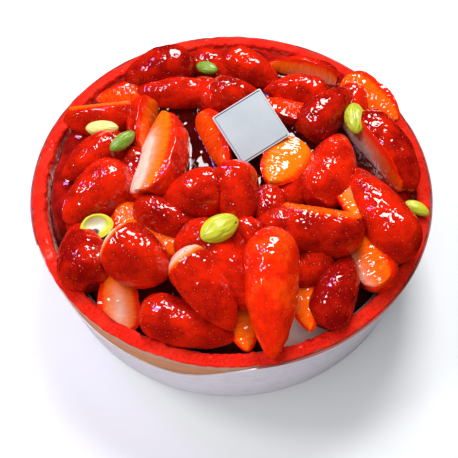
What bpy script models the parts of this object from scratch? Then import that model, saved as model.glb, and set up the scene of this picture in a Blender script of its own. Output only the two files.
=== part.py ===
"""Round strawberry cake: a biscuit ring with a red rim and a paper band,
filled with cream and heaped with strawberries, pistachios and a small plaque.

Frame: metres, +Z up, origin at the middle of the underside. Sizes below are
in millimetres and become metres through MM. The front of the cake is -Y.
"""
import math
from collections import namedtuple

import bmesh
import bpy
from mathutils import Matrix, Vector

MM = 0.001

# Biscuit ring, cream and paper band
RING_RADIUS = 90.0
RING_WALL = 6.0
RING_HEIGHT = 48.0
RIM_CHAMFER = 0.6
RING_STEPS = 72
GAP = 0.3
CREAM_EDGE = 36.0
CREAM_RISE = 15.0
CREAM_POWER = 4.0
CREAM_ROUNDING = 0.8
CREAM_RINGS = 6
BAND_THICKNESS = 0.4
BAND_FOOT = 0.3
BAND_TOP = 47.4
BAND_DIP = 17.0
BAND_DIP_ANGLE = 240.0
BAND_DIP_HALF_WIDTH = 38.0
BAND_DIP_FADE = 24.0

# Square plaque that leans back on the fruit
PLAQUE_SIZE = 25.0
PLAQUE_THICKNESS = 1.2
PLAQUE_CENTRE = (9.0, 11.0, 65.0)
PLAQUE_HEADING = 32.0
PLAQUE_TILT = 25.0
PLAQUE_EDGE = 0.2

# Strawberry shape, as shares of its length and width
BERRY_SIDES = 12
BERRY_RINGS = 7
SHOULDER = 0.25
CROWN_ROUNDING = 0.27
TAPER_POWER = 1.25
TIP_BLUNTNESS = 0.62

# Pistachio shape
NUT_SIDES = 8
NUT_RINGS = 6
NUT_BLUNTNESS = 1.2
NUT_HEIGHT_SHARE = 0.75

# Meshes: distances in millimetres, angles in degrees
SAME_POINT = 0.0001
SMALLEST_EDGE = 0.05
FLAT_ANGLE = 0.3
SMOOTH_ANGLE = 40.0

# Surfaces: colour (linear red, green, blue) and roughness
CRUST = ((0.80, 0.05, 0.02), 0.85)
CREAM = ((0.86, 0.80, 0.68), 0.55)
PAPER = ((0.62, 0.58, 0.62), 0.60)
PLATE = ((0.72, 0.78, 0.82), 0.25)
GREEN = ((0.50, 0.48, 0.05), 0.40)
BRIGHT_SKIN = ((0.60, 0.02, 0.008), 0.18)
DARK_SKIN = ((0.33, 0.01, 0.006), 0.18)
CUT_FLESH = ((0.78, 0.10, 0.01), 0.25)

# A strawberry's place is the middle of its axis. Heading is the way its tip
# points in plan (0 is +X, 90 is +Y), rise lifts the tip. A half is cut along
# the axis; face turns the cut from upward (0) to the left of the heading (90)
# or to the right (-90), and keep is what stays beyond the axis.
Berry = namedtuple(
    "Berry", "number at heading rise length width half face keep surface")
Nut = namedtuple("Nut", "number at heading rise length width half face")


def whole(number, at, heading, length, width, rise=0.0, surface=BRIGHT_SKIN):
    return Berry(number, at, heading, rise, length, width, False, 0.0, 0.0, surface)


def half(number, at, heading, length, width, face, rise=0.0, keep=0.0):
    return Berry(number, at, heading, rise, length, width, True, face, keep,
                 CUT_FLESH)


# The heap, from its top down: each piece is shaped by those above it
BERRIES = [
    whole(40, (2.5, -22.5, 60), -83, 31, 20, rise=-10),
    whole(42, (15, -64, 59), -92, 50, 21, rise=-8),
    half(35, (23, -4.5, 60), -120, 27, 21.5, face=0),
    half(16, (-31, 2, 58), 80, 47, 27, face=38, keep=3.5),
    whole(15, (-15.5, -20, 57.5), -168, 28, 22.5),
    half(19, (-8, 11, 55.5), -68, 34, 17, face=-50),
    half(37, (31, -36.3, 57.5), 169, 44, 22, face=-50, keep=7),
    whole(39, (16, -28, 57), -90, 24, 15),
    whole(44, (8, -39, 57), -47, 18, 13),
    whole(33, (60.5, -27.5, 57), 113, 47, 22),
    half(50, (49.2, -20.5, 60), -78, 30, 14, face=5),
    whole(21, (3, 36, 58), -9, 26, 18),
    half(45, (3.4, -70.5, 48), -79, 27, 16, face=0),
    whole(8, (-36.5, -49, 56), -35, 29, 24.5),
    whole(13, (-9, -62, 56), -57, 37, 21, rise=-8),
    half(18, (-39, 20, 56), -100, 28, 20, face=75),
    whole(29, (45, 28, 54.5), 45, 34, 20.5, rise=14, surface=DARK_SKIN),
    whole(5, (-61, 2, 55), -142, 34, 18),
    whole(34, (44.3, -4.8, 55), 68, 40, 23.3),
    whole(1, (-36, 56, 55), -162, 36, 23, surface=DARK_SKIN),
    whole(43, (1, -44, 55), -102, 24, 14),
    half(4, (-63, 27, 54), -173, 32, 22, face=-45, keep=4),
    whole(23, (-6, 61, 51), -30, 30, 18),
    whole(24, (10, 59, 51.5), -30, 32, 21),
    whole(20, (-10, 40, 54), 127, 26, 18),
    whole(14, (-5, -51, 54), -56, 44, 24),
    half(28, (28, 33, 54), 161, 24, 20, face=-20),
    half(32, (69.3, 5, 53.5), -62, 46, 25, face=-95, keep=4),
    half(31, (67.5, 36.5, 54.5), -50, 35, 19, face=-40),
    half(2, (-49, 43, 53), -165, 34, 15.5, face=20),
    whole(9, (-25.3, -29.4, 53), -28.5, 34, 17, surface=DARK_SKIN),
    whole(27, (32, 44, 52), 172, 32, 18),
    whole(3, (-29, 43, 52), 173, 38, 18),
    whole(6, (-58, -16, 52), -134, 36, 25),
    whole(17, (-43, -6, 52), -88, 30, 15),
    whole(36, (26, -15, 52), -128, 22, 16),
    half(25, (36, 57.5, 51.5), 158, 37, 18, face=85),
    half(49, (55.8, -46, 51), 108, 30, 17, face=30, keep=4.5),
    whole(48, (41, -61, 51), 65, 31, 18, rise=12, surface=DARK_SKIN),
    half(7, (-33, -34, 52), -38, 38, 20, face=0),
    whole(10, (-60, -44, 50), 109, 30, 24, rise=5, surface=DARK_SKIN),
    whole(30, (58, 33, 50), -103, 28, 18),
    half(46, (27, -59.5, 50.5), -80, 35, 15, face=-20),
    whole(47, (31, -52, 50), -140, 22, 18),
    half(11, (-45, -62, 48), 98, 28, 17, face=0, rise=20),
    whole(12, (-17, -73, 47), -17, 40, 19),
    whole(51, (-68, -24, 46), -81, 20, 14),
]
NUTS = [
    Nut(1, (-4.5, -40.5, 65.7), 37, -8, 17.5, 11.0, False, 0),
    Nut(2, (-54.5, -35.0, 58.5), 12, 0, 13.5, 10.5, True, -20),
    Nut(3, (-58.5, 16.0, 59.0), 0, 0, 15.0, 8.0, False, 0),
    Nut(4, (-47.5, 5.5, 62.5), 48, 0, 14.0, 7.0, False, 0),
    Nut(5, (-11.5, 54.5, 58.5), -32, 10, 12.5, 7.0, False, 0),
    Nut(6, (56.5, 19.0, 61.0), 88, 0, 18.0, 9.5, False, 0),
    Nut(7, (80, -22.8, 50.8), -35, 0, 11.0, 6.0, False, 0),
]


def material(name, surface):
    """A Principled material of one colour."""
    colour, roughness = surface
    made = bpy.data.materials.new(name)
    made.use_nodes = True
    shader = made.node_tree.nodes["Principled BSDF"]
    shader.inputs["Base Color"].default_value = (*colour, 1.0)
    shader.inputs["Roughness"].default_value = roughness
    shader.inputs["Metallic"].default_value = 0.0
    made.diffuse_color = (*colour, 1.0)
    return made


def add_object(name, bm, surface=None, place=Matrix.Identity(4)):
    """Turn a bmesh in millimetres into a placed object in metres."""
    bmesh.ops.scale(bm, vec=Vector((MM, MM, MM)), verts=bm.verts)
    bmesh.ops.recalc_face_normals(bm, faces=bm.faces)
    mesh = bpy.data.meshes.new(name)
    bm.to_mesh(mesh)
    bm.free()
    mesh.shade_smooth()
    mesh.set_sharp_from_angle(angle=math.radians(SMOOTH_ANGLE))
    if surface is not None:
        mesh.materials.append(material(name, surface))
    made = bpy.data.objects.new(name, mesh)
    bpy.context.scene.collection.objects.link(made)
    made.matrix_world = place
    return made


def spun(profile, steps, axis, closed):
    """Turn a profile of points once round an axis and close the seam."""
    bm = bmesh.new()
    verts = [bm.verts.new(point) for point in profile]
    ends = zip(verts, verts[1:] + verts[:1]) if closed else zip(verts, verts[1:])
    edges = [bm.edges.new(pair) for pair in ends]
    bmesh.ops.spin(bm, geom=verts + edges, cent=(0, 0, 0), axis=axis,
                   angle=2 * math.pi, steps=steps, use_merge=True)
    bmesh.ops.remove_doubles(bm, verts=bm.verts, dist=SAME_POINT)
    return bm


def placement(at, heading, rise):
    """Place a piece whose axis is its own +X, in metres."""
    turn = Matrix.Rotation(math.radians(heading), 4, "Z")
    lift = Matrix.Rotation(math.radians(-rise), 4, "Y")
    return Matrix.Translation(Vector(at) * MM) @ turn @ lift


def ring_profile(grow):
    """Section of the biscuit ring, its top edges chamfered."""
    inner = RING_RADIUS - RING_WALL - grow
    outer = RING_RADIUS + grow
    top = RING_HEIGHT + grow
    chamfer = RIM_CHAMFER
    return [(inner, 0, -grow), (outer, 0, -grow), (outer, 0, top - chamfer),
            (outer - chamfer, 0, top), (inner + chamfer, 0, top),
            (inner, 0, top - chamfer)]


def cream_height(radius, edge):
    """Height of the domed cream at a radius, lowest at the ring."""
    share = max(0.0, 1.0 - (radius / edge) ** CREAM_POWER)
    return CREAM_EDGE + CREAM_RISE * share ** CREAM_ROUNDING


def cream_profile(grow):
    """Section of the cream from the axis to the ring and up the dome."""
    edge = RING_RADIUS - RING_WALL - GAP
    points = [(0.0, 0, -grow), (edge + grow, 0, -grow)]
    for step in range(CREAM_RINGS + 1):
        share = math.cos(0.5 * math.pi * step / CREAM_RINGS)
        radius = edge * share
        reach = edge + grow if step == 0 else radius
        points.append((reach, 0, cream_height(radius, edge) + grow))
    points[-1] = (0.0, 0, points[-1][2])
    return points


def band_top(angle):
    """Height of the band's upper edge, dipped at the front left."""
    off = abs((angle - BAND_DIP_ANGLE + 180.0) % 360.0 - 180.0)
    share = (BAND_DIP_HALF_WIDTH - off) / BAND_DIP_FADE
    share = min(1.0, max(0.0, share))
    return BAND_TOP - BAND_DIP * share * share * (3.0 - 2.0 * share)


def band_mesh():
    """Thin strip round the ring with a dipped upper edge."""
    inner = RING_RADIUS + GAP
    outer = inner + BAND_THICKNESS
    bm = bmesh.new()
    rows = []
    for step in range(RING_STEPS):
        angle = 360.0 * step / RING_STEPS
        turn = math.radians(angle)
        top = band_top(angle)
        section = [(inner, BAND_FOOT), (outer, BAND_FOOT), (outer, top), (inner, top)]
        rows.append([bm.verts.new((r * math.cos(turn), r * math.sin(turn), z))
                     for r, z in section])
    for step, row in enumerate(rows):
        following = rows[(step + 1) % RING_STEPS]
        for corner in range(4):
            after = (corner + 1) % 4
            bm.faces.new((row[corner], following[corner],
                          following[after], row[after]))
    return bm


def berry_radius(share):
    """Radius at a share of the length, 0 at the crown and 1 at the tip."""
    if share < SHOULDER:
        back = (SHOULDER - share) / CROWN_ROUNDING
        return math.sqrt(1.0 - back * back)
    forward = (share - SHOULDER) / (1.0 - SHOULDER)
    return math.cos(0.5 * math.pi * forward ** TAPER_POWER) ** TIP_BLUNTNESS


def cut_away(bm, offset, face):
    """Cut a piece along its axis and keep what lies under the cut."""
    turn = math.radians(face)
    normal = Vector((0.0, math.sin(turn), math.cos(turn)))
    cut = bmesh.ops.bisect_plane(
        bm, geom=bm.verts[:] + bm.edges[:] + bm.faces[:], dist=SAME_POINT,
        plane_co=normal * offset, plane_no=normal, clear_outer=True)
    edges = [item for item in cut["geom_cut"] if isinstance(item, bmesh.types.BMEdge)]
    bmesh.ops.contextual_create(bm, geom=edges)


def berry_mesh(berry, grow):
    """A strawberry with its leaf end cut flat, whole or halved."""
    length = berry.length + 2 * grow
    width = berry.width + 2 * grow
    profile = [(-0.5 * length, 0, 0)]
    for ring in range(BERRY_RINGS):
        share = 0.5 - 0.5 * math.cos(math.pi * ring / BERRY_RINGS)
        radius = 0.5 * width * berry_radius(share)
        profile.append(((share - 0.5) * length, radius, 0))
    profile.append((0.5 * length, 0, 0))
    bm = spun(profile, BERRY_SIDES, (1, 0, 0), closed=False)
    if berry.half:
        cut_away(bm, berry.keep + grow, berry.face)
    return bm


def nut_mesh(nut, grow):
    """A pistachio kernel, slightly flat and pointed at one end."""
    length = nut.length + 2 * grow
    width = nut.width + 2 * grow
    profile = [(-0.5 * length, 0, 0)]
    for ring in range(1, NUT_RINGS):
        turn = math.pi * ring / NUT_RINGS
        radius = 0.5 * width * math.sin(turn) ** NUT_BLUNTNESS
        profile.append((-0.5 * length * math.cos(turn), radius, 0))
    profile.append((0.5 * length, 0, 0))
    bm = spun(profile, NUT_SIDES, (1, 0, 0), closed=False)
    bmesh.ops.scale(bm, vec=Vector((1, 1, NUT_HEIGHT_SHARE)), verts=bm.verts)
    if nut.half:
        cut_away(bm, grow, nut.face)
    return bm


def plaque_mesh(grow):
    """Flat square with softened edges."""
    size = PLAQUE_SIZE + 2 * grow
    bm = bmesh.new()
    bmesh.ops.create_cube(bm, size=1.0)
    bmesh.ops.scale(bm, verts=bm.verts,
                    vec=Vector((size, size, PLAQUE_THICKNESS + 2 * grow)))
    bmesh.ops.bevel(bm, geom=bm.edges[:], offset=PLAQUE_EDGE, segments=1,
                    affect="EDGES")
    return bm


def plaque_place():
    """The plaque leans back, its face towards the front."""
    turn = Matrix.Rotation(math.radians(PLAQUE_HEADING), 4, "Z")
    lean = Matrix.Rotation(math.radians(PLAQUE_TILT), 4, "X")
    return Matrix.Translation(Vector(PLAQUE_CENTRE) * MM) @ lean @ turn


def in_fixed_order(mesh):
    """A bmesh of the same faces, its points and faces sorted by their place."""
    spots = [tuple(round(value / MM, 4) for value in vert.co)
             for vert in mesh.vertices]
    order = sorted(range(len(spots)), key=spots.__getitem__)
    rank = {old: new for new, old in enumerate(order)}
    loops = []
    for polygon in mesh.polygons:
        loop = [rank[index] for index in polygon.vertices]
        start = loop.index(min(loop))
        loops.append(tuple(loop[start:] + loop[:start]))
    bm = bmesh.new()
    verts = [bm.verts.new(mesh.vertices[index].co) for index in order]
    for loop in sorted(loops):
        bm.faces.new([verts[index] for index in loop])
    bm.faces.index_update()
    return bm


def islands(bm):
    """Groups of faces that hang together, in the order of the faces."""
    groups = []
    seen = set()
    for start in bm.faces:
        if start.index in seen:
            continue
        seen.add(start.index)
        group = [start]
        for face in group:
            for edge in face.edges:
                for other in edge.link_faces:
                    if other.index not in seen:
                        seen.add(other.index)
                        group.append(other)
        groups.append(group)
    return groups


def cut_by(target, cutters):
    """Cut a piece by others and keep its largest remaining body."""
    for cutter in cutters:
        boolean = target.modifiers.new("Cut", "BOOLEAN")
        boolean.operation = "DIFFERENCE"
        boolean.solver = "EXACT"
        boolean.object = cutter
    bpy.context.view_layer.update()
    graph = bpy.context.evaluated_depsgraph_get()
    shaped = bpy.data.meshes.new_from_object(target.evaluated_get(graph))
    target.modifiers.clear()
    bm = in_fixed_order(shaped)
    bpy.data.meshes.remove(shaped)
    groups = islands(bm)
    largest = max(groups, key=lambda group: sum(face.calc_area() for face in group))
    scraps = [face for group in groups if group is not largest for face in group]
    bmesh.ops.delete(bm, geom=scraps, context="FACES")
    bmesh.ops.dissolve_degenerate(bm, dist=SMALLEST_EDGE * MM, edges=bm.edges)
    bmesh.ops.dissolve_limit(bm, angle_limit=math.radians(FLAT_ANGLE),
                             verts=bm.verts, edges=bm.edges)
    bmesh.ops.triangulate(bm, faces=bm.faces)
    bm.to_mesh(target.data)
    bm.free()
    target.data.shade_smooth()
    target.data.set_sharp_from_angle(angle=math.radians(SMOOTH_ANGLE))


def reach(place, length, width):
    """Centre and radius of the ball round a piece, in millimetres."""
    return place.translation / MM, 0.5 * math.hypot(length, width)


def make_cutter(name, bm, place=Matrix.Identity(4)):
    """A guide that is left out of the part."""
    guide = add_object(name, bm, place=place)
    guide.hide_render = True
    guide.display_type = "WIRE"
    return guide


def build_base():
    """Ring, cream and band."""
    axis = (0, 0, 1)
    add_object("crust_ring", spun(ring_profile(0.0), RING_STEPS, axis, True), CRUST)
    add_object("cream", spun(cream_profile(0.0), RING_STEPS, axis, False), CREAM)
    add_object("side_band", band_mesh(), PAPER)


def build_heap():
    """Strawberries from the top down, then the pistachios on them."""
    axis = (0, 0, 1)
    bed = [make_cutter("ring_guide", spun(ring_profile(GAP), RING_STEPS, axis, True)),
           make_cutter("cream_guide", spun(cream_profile(GAP), RING_STEPS, axis, False))]
    guides = list(bed)
    upper = []
    place = plaque_place()
    add_object("plaque", plaque_mesh(0.0), PLATE, place)
    guide = make_cutter("plaque_guide", plaque_mesh(GAP), place)
    upper.append((guide, *reach(place, PLAQUE_SIZE, PLAQUE_SIZE)))
    guides.append(guide)
    for berry in BERRIES:
        place = placement(berry.at, berry.heading, berry.rise)
        centre, radius = reach(place, berry.length, berry.width)
        made = add_object(f"strawberry_{berry.number:02d}", berry_mesh(berry, 0.0),
                          berry.surface, place)
        near = [guide for guide, spot, size in upper
                if (spot - centre).length < radius + size]
        cut_by(made, bed + near)
        guide = make_cutter(f"berry_guide_{berry.number:02d}",
                            berry_mesh(berry, GAP), place)
        upper.append((guide, centre, radius))
        guides.append(guide)
    for nut in NUTS:
        place = placement(nut.at, nut.heading, nut.rise)
        centre, radius = reach(place, nut.length, nut.width)
        made = add_object(f"pistachio_{nut.number}", nut_mesh(nut, 0.0), GREEN, place)
        near = [guide for guide, spot, size in upper
                if (spot - centre).length < radius + size]
        cut_by(made, bed + near)
    for guide in guides:
        bpy.data.objects.remove(guide, do_unlink=True)


def main():
    for old in list(bpy.data.objects):
        bpy.data.objects.remove(old, do_unlink=True)
    build_base()
    build_heap()


main()
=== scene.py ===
"""The finished look of a round strawberry cake, built round its fixed solids.

The solids come in at true size, in metres, +Z up, with the origin at the
middle of the underside and the front towards -Y. Shapes here are worked out
in millimetres as whole arrays and become metres when they enter a mesh.
"""

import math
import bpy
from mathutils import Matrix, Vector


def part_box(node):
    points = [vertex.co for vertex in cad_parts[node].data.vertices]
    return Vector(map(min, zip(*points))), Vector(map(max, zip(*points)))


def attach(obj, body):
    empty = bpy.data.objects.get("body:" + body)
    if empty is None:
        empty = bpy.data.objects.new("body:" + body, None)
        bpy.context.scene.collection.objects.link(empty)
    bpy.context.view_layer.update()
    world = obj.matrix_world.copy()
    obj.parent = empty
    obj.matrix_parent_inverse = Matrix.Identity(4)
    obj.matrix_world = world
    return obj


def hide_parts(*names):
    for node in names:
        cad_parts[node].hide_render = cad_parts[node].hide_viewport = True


bl_info = {
    "name": "Strawberry Cake",
    "version": (1, 0, 0),
    "blender": (4, 5, 0),
    "location": "View3D > Sidebar > Cake",
    "description": "Builds the finished look of a glazed strawberry cake",
    "category": "Add Mesh",
}

from collections import namedtuple
from itertools import product

import bpy
import numpy as np
from bpy.props import FloatProperty, FloatVectorProperty, PointerProperty
from bpy.types import Operator, Panel, PropertyGroup
from mathutils import Matrix, Vector

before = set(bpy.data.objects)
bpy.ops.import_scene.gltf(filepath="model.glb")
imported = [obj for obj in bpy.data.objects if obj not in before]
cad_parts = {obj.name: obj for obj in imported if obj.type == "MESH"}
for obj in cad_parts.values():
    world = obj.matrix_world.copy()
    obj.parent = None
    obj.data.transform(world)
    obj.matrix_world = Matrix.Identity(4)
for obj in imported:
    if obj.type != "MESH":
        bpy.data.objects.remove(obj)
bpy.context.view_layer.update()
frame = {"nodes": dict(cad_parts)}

MM = 0.001
AHEAD = np.array((1.0, 0.0, 0.0))

# Strawberry shape, as shares of its length and width
SHOULDER = 0.25
CROWN_ROUNDING = 0.27
TAPER_POWER = 1.25
TIP_BLUNTNESS = 0.62

# Finer shape of strawberries, in millimetres
HOLLOW_DEPTH = 0.9
BEND = 0.7
PIT_SPREAD = 0.62
CUT_SOFTNESS = 0.28
SEED_SIZE = (0.38, 0.23, 0.15)

# Points on each side that even out a corner of the outline, one every 0.1 mm
CORNER_REACH = 12

# Width of the white strip of a cut, as a share of its half width
STRIP_WIDTH = 0.38

# Pistachio shape
NUT_BLUNTNESS = 1.2
NUT_HEIGHT_SHARE = 0.75

# Ring in millimetres: rounding of its rim, how far down its mesh is fine, and
# the step of that mesh, of which one point in a few is enough further down
RIM_OUTER_ROUND = 0.7
RIM_INNER_ROUND = 1.6
RIM_DEPTH = 14.0
RING_STEP = 0.42
RING_ONE_IN = 5

# Directions in degrees: the middle of the front, and where the cream shows
FRONT = 272.0
CREAM_SHOWS = 293.0

# Jelly in millimetres: the radius where it ends and how far it falls short of
# that where the cream shows, how deep its underside lies in the cream, how high
# it banks up and how much lower the bank is along the ring
JELLY_EDGE = 84.3
JELLY_SHORT = 18.0
JELLY_SINK = 0.9
BANK_HEIGHT = 8.2
BANK_FALL = 3.2

# How dark the groove of the plaque is on each of its sides
LINE_DARKNESS = (0.15, 1.0, 0.6, 1.0)

# Points once round each piece
RING_TURNS = 820
BAND_TURNS = 960
JELLY_TURNS = 420
CREAM_TURNS = 240
NUT_TURNS = 96
NUT_ROWS = 56

# A strawberry's place is the middle of its axis. Heading is the way its tip
# points in plan, rise lifts the tip. A half is cut along the axis; face turns
# the cut from upward (0) to the left of the heading (90) or the right (-90),
# and keep is what stays beyond the axis. Tone runs from dark (0) to bright
# (1); crown is how pale the leaf end is, core how white and flush how red the
# cut is, and lean shifts its white towards one side.
Berry = namedtuple(
    "Berry", "number at heading rise length width half face keep tone crown core flush lean")
Nut = namedtuple("Nut", "number at heading rise length width half face green")


def whole(number, at, heading, length, width, rise=0.0, tone=0.5, crown=0.0):
    """A whole strawberry."""
    return Berry(number, at, heading, rise, length, width, False, 0.0, 0.0,
                 tone, crown, 0.0, 0.0, 0.0)


def half(number, at, heading, length, width, face, rise=0.0, keep=0.0,
         tone=0.5, core=0.0, flush=0.45, lean=0.0):
    """A strawberry that is cut along its axis."""
    return Berry(number, at, heading, rise, length, width, True, face, keep,
                 tone, 0.0, core, flush, lean)


# The heap from its top down: each piece is shaped by those above it
BERRIES = [
    whole(40, (2.5, -22.5, 60), -83, 31, 20, rise=-10, tone=0.45),
    whole(42, (15, -64, 59), -92, 50, 21, rise=-8, tone=1.05),
    half(35, (23, -4.5, 60), -120, 27, 21.5, face=0, tone=0.9, flush=0.0),
    half(16, (-31, 2, 58), 80, 47, 27, face=38, keep=3.5, tone=0.75, core=2.6, flush=0.25,
         lean=0.3),
    whole(15, (-15.5, -20, 57.5), -168, 28, 22.5, tone=0.4),
    half(19, (-8, 11, 55.5), -68, 34, 17, face=-50, tone=0.7, flush=0.75),
    half(37, (31, -36.3, 57.5), 169, 44, 22, face=-50, keep=7, tone=0.4, flush=0.5),
    whole(39, (16, -28, 57), -90, 24, 15, tone=0.35),
    whole(44, (8, -39, 57), -47, 18, 13),
    whole(33, (60.5, -27.5, 57), 113, 47, 22),
    half(50, (49.2, -20.5, 60), -78, 30, 14, face=5, tone=0.9, core=0.15, flush=0.1),
    whole(21, (3, 36, 58), -9, 26, 18, tone=0.4),
    half(45, (3.4, -70.5, 48), -79, 27, 16, face=0, tone=1.0, flush=0.4),
    whole(8, (-36.5, -49, 56), -35, 29, 24.5, tone=0.45, crown=0.9),
    whole(13, (-9, -62, 56), -57, 37, 21, rise=-8, tone=0.55, crown=0.95),
    half(18, (-39, 20, 56), -100, 28, 20, face=75),
    whole(29, (45, 28, 54.5), 45, 34, 20.5, rise=14, tone=0.3, crown=0.15),
    whole(5, (-61, 2, 55), -142, 34, 18),
    whole(34, (44.3, -4.8, 55), 68, 40, 23.3, tone=0.65),
    whole(1, (-36, 56, 55), -162, 36, 23, tone=0.2),
    whole(43, (1, -44, 55), -102, 24, 14, tone=0.6),
    half(4, (-63, 27, 54), -173, 32, 22, face=-45, keep=4, core=0.15, flush=0.35),
    whole(23, (-6, 61, 51), -30, 30, 18, tone=0.45),
    whole(24, (10, 59, 51.5), -30, 32, 21),
    whole(20, (-10, 40, 54), 127, 26, 18, tone=0.45),
    whole(14, (-5, -51, 54), -56, 44, 24),
    half(28, (28, 33, 54), 161, 24, 20, face=-20, tone=0.7, flush=1.0),
    half(32, (69.3, 5, 53.5), -62, 46, 25, face=-95, keep=4, tone=0.25, core=0.9, flush=0.6),
    half(31, (67.5, 36.5, 54.5), -50, 35, 19, face=-40, tone=0.8),
    half(2, (-49, 43, 53), -165, 34, 15.5, face=20, tone=0.8, flush=0.8),
    whole(9, (-25.3, -29.4, 53), -28.5, 34, 17, tone=0.3),
    whole(27, (32, 44, 52), 172, 32, 18),
    whole(3, (-29, 43, 52), 173, 38, 18, tone=0.55),
    whole(6, (-58, -16, 52), -134, 36, 25),
    whole(17, (-43, -6, 52), -88, 30, 15, tone=0.3),
    whole(36, (26, -15, 52), -128, 22, 16),
    half(25, (36, 57.5, 51.5), 158, 37, 18, face=85, core=0.45, flush=0.15),
    half(49, (55.8, -46, 51), 108, 30, 17, face=30, keep=4.5, tone=0.9, core=0.45, lean=0.75),
    whole(48, (41, -61, 51), 65, 31, 18, rise=12, tone=0.2),
    half(7, (-33, -34, 52), -38, 38, 20, face=0, tone=0.7),
    whole(10, (-60, -44, 50), 109, 30, 24, rise=5, tone=0.25, crown=0.12),
    whole(30, (58, 33, 50), -103, 28, 18),
    half(46, (27, -59.5, 50.5), -80, 35, 15, face=-20, tone=0.9, core=0.6, lean=-0.7),
    whole(47, (31, -52, 50), -140, 22, 18, tone=0.45),
    half(11, (-45, -62, 48), 98, 28, 17, face=0, rise=20, tone=0.8, core=0.6, flush=0.3),
    whole(12, (-17, -73, 47), -17, 40, 19, tone=0.45),
    whole(51, (-68, -24, 46), -81, 20, 14, tone=0.4),
]
NUTS = [
    Nut(1, (-4.5, -40.5, 65.7), 37, -8, 17.5, 11.0, False, 0, 0.2),
    Nut(2, (-54.5, -35.0, 58.5), 12, 0, 13.5, 10.5, True, -20, 0.0),
    Nut(3, (-58.5, 16.0, 59.0), 0, 0, 15.0, 8.0, False, 0, -0.6),
    Nut(4, (-47.5, 5.5, 62.5), 48, 0, 14.0, 7.0, False, 0, 0.9),
    Nut(5, (-11.5, 54.5, 58.5), -32, 10, 12.5, 7.0, False, 0, 0.9),
    Nut(6, (56.5, 19.0, 61.0), 88, 0, 18.0, 9.5, False, 0, 0.4),
    Nut(7, (80, -22.8, 50.8), -35, 0, 11.0, 6.0, False, 0, 0.2),
]


# Settings

def length(name, description, default):
    return FloatProperty(name=name, description=description, default=default * MM,
                         subtype="DISTANCE", unit="LENGTH", precision=5)


def angle(name, description, degrees):
    return FloatProperty(name=name, description=description,
                         default=math.radians(degrees), subtype="ANGLE", unit="ROTATION")


def share(name, description, default):
    return FloatProperty(name=name, description=description, default=default,
                         subtype="FACTOR", min=0.0, max=1.0)


def number(name, description, default):
    return FloatProperty(name=name, description=description, default=default)


def colour(name, description, default):
    return FloatVectorProperty(name=name, description=description, default=default,
                               size=3, subtype="COLOR", min=0.0, max=1.0)


class RingSettings(PropertyGroup):
    """Biscuit ring with its red rim"""
    radius: length("Radius", "Outer radius of the ring", 90.0)
    wall: length("Wall", "Width of the rim", 6.0)
    height: length("Height", "Height of the ring", 48.0)
    relief: length("Relief", "Depth of the crumb on the rim", 0.42)
    rim_red: colour("Rim red", "Colour of the rim", (0.80, 0.016, 0.005))
    rim_edge: colour("Rim edge", "Colour of the rim's lower edge", (0.52, 0.30, 0.22))
    biscuit: colour("Biscuit", "Colour of the baked wall", (0.50, 0.20, 0.10))
    inner: colour("Inner crumb", "Colour of the crumb inside the ring",
                  (0.92, 0.50, 0.44))


class CreamSettings(PropertyGroup):
    """Cream dome and the jelly that lies on it"""
    edge: length("Edge height", "Height of the cream at the ring", 36.0)
    rise: length("Rise", "How far the dome rises above its edge", 15.0)
    power: number("Power", "How flat the dome's middle is", 4.0)
    rounding: number("Rounding", "How sharply the dome falls at its edge", 0.8)
    gap: length("Gap", "Gap between the ring and what it holds", 0.3)
    jelly: length("Jelly", "Depth of the jelly between the fruit", 1.1)
    cream: colour("Cream", "Colour of the cream", (0.90, 0.82, 0.77))
    jelly_red: colour("Jelly red", "Colour of the jelly", (0.030, 0.0015, 0.001))


class BandSettings(PropertyGroup):
    """Paper band round the ring"""
    thickness: length("Thickness", "Thickness of the band", 0.4)
    foot: length("Foot", "Height of the lower edge", 0.3)
    top: length("Top", "Height of the upper edge", 47.4)
    dip: length("Dip", "How far the upper edge dips", 17.0)
    dip_angle: angle("Dip angle", "Middle of the dip", 240.0)
    dip_half: angle("Dip half width", "Half the width of the dip", 38.0)
    dip_fade: angle("Dip fade", "Width over which the edge rises", 24.0)
    paper: colour("Paper", "Colour of the band", (0.84, 0.78, 0.86))


class PlaqueSettings(PropertyGroup):
    """Small square plaque"""
    size: length("Size", "Length of a side", 25.0)
    thickness: length("Thickness", "Thickness", 1.2)
    heading: angle("Heading", "Turn in its own plane", 32.0)
    tilt: angle("Tilt", "Lean towards the back", 25.0)
    face: colour("Face", "Colour of the face", (0.41, 0.47, 0.49))
    frame: colour("Frame", "Colour of the line round the face", (0.10, 0.10, 0.11))


class BerrySettings(PropertyGroup):
    """Glazed strawberries"""
    step: length("Step", "Spacing of the mesh", 0.55)
    seed_step: length("Seed spacing", "Distance between seeds", 3.1)
    pit: length("Pit depth", "Depth of the pit round a seed", 0.22)
    uneven: length("Unevenness", "Depth of the dents in a berry", 0.62)
    press: length("Press", "How far touching berries press together", 0.6)
    bright: colour("Bright red", "Colour of a bright berry", (0.80, 0.018, 0.002))
    dark: colour("Dark red", "Colour of a dark berry", (0.24, 0.003, 0.002))
    flesh: colour("Flesh", "Colour of cut flesh", (0.88, 0.17, 0.004))
    core: colour("Core", "Colour of the pale core", (0.82, 0.52, 0.40))
    seed: colour("Seed", "Colour of a seed", (0.60, 0.08, 0.012))
    glaze_roughness: share("Glaze roughness", "Roughness of the glaze", 0.04)


class NutSettings(PropertyGroup):
    """Pistachio kernels"""
    yellow: colour("Yellow green", "Colour of a bright kernel", (0.60, 0.60, 0.02))
    green: colour("Green", "Colour of a green kernel", (0.12, 0.25, 0.015))
    skin: colour("Skin", "Colour of the papery skin", (0.09, 0.03, 0.04))


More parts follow.
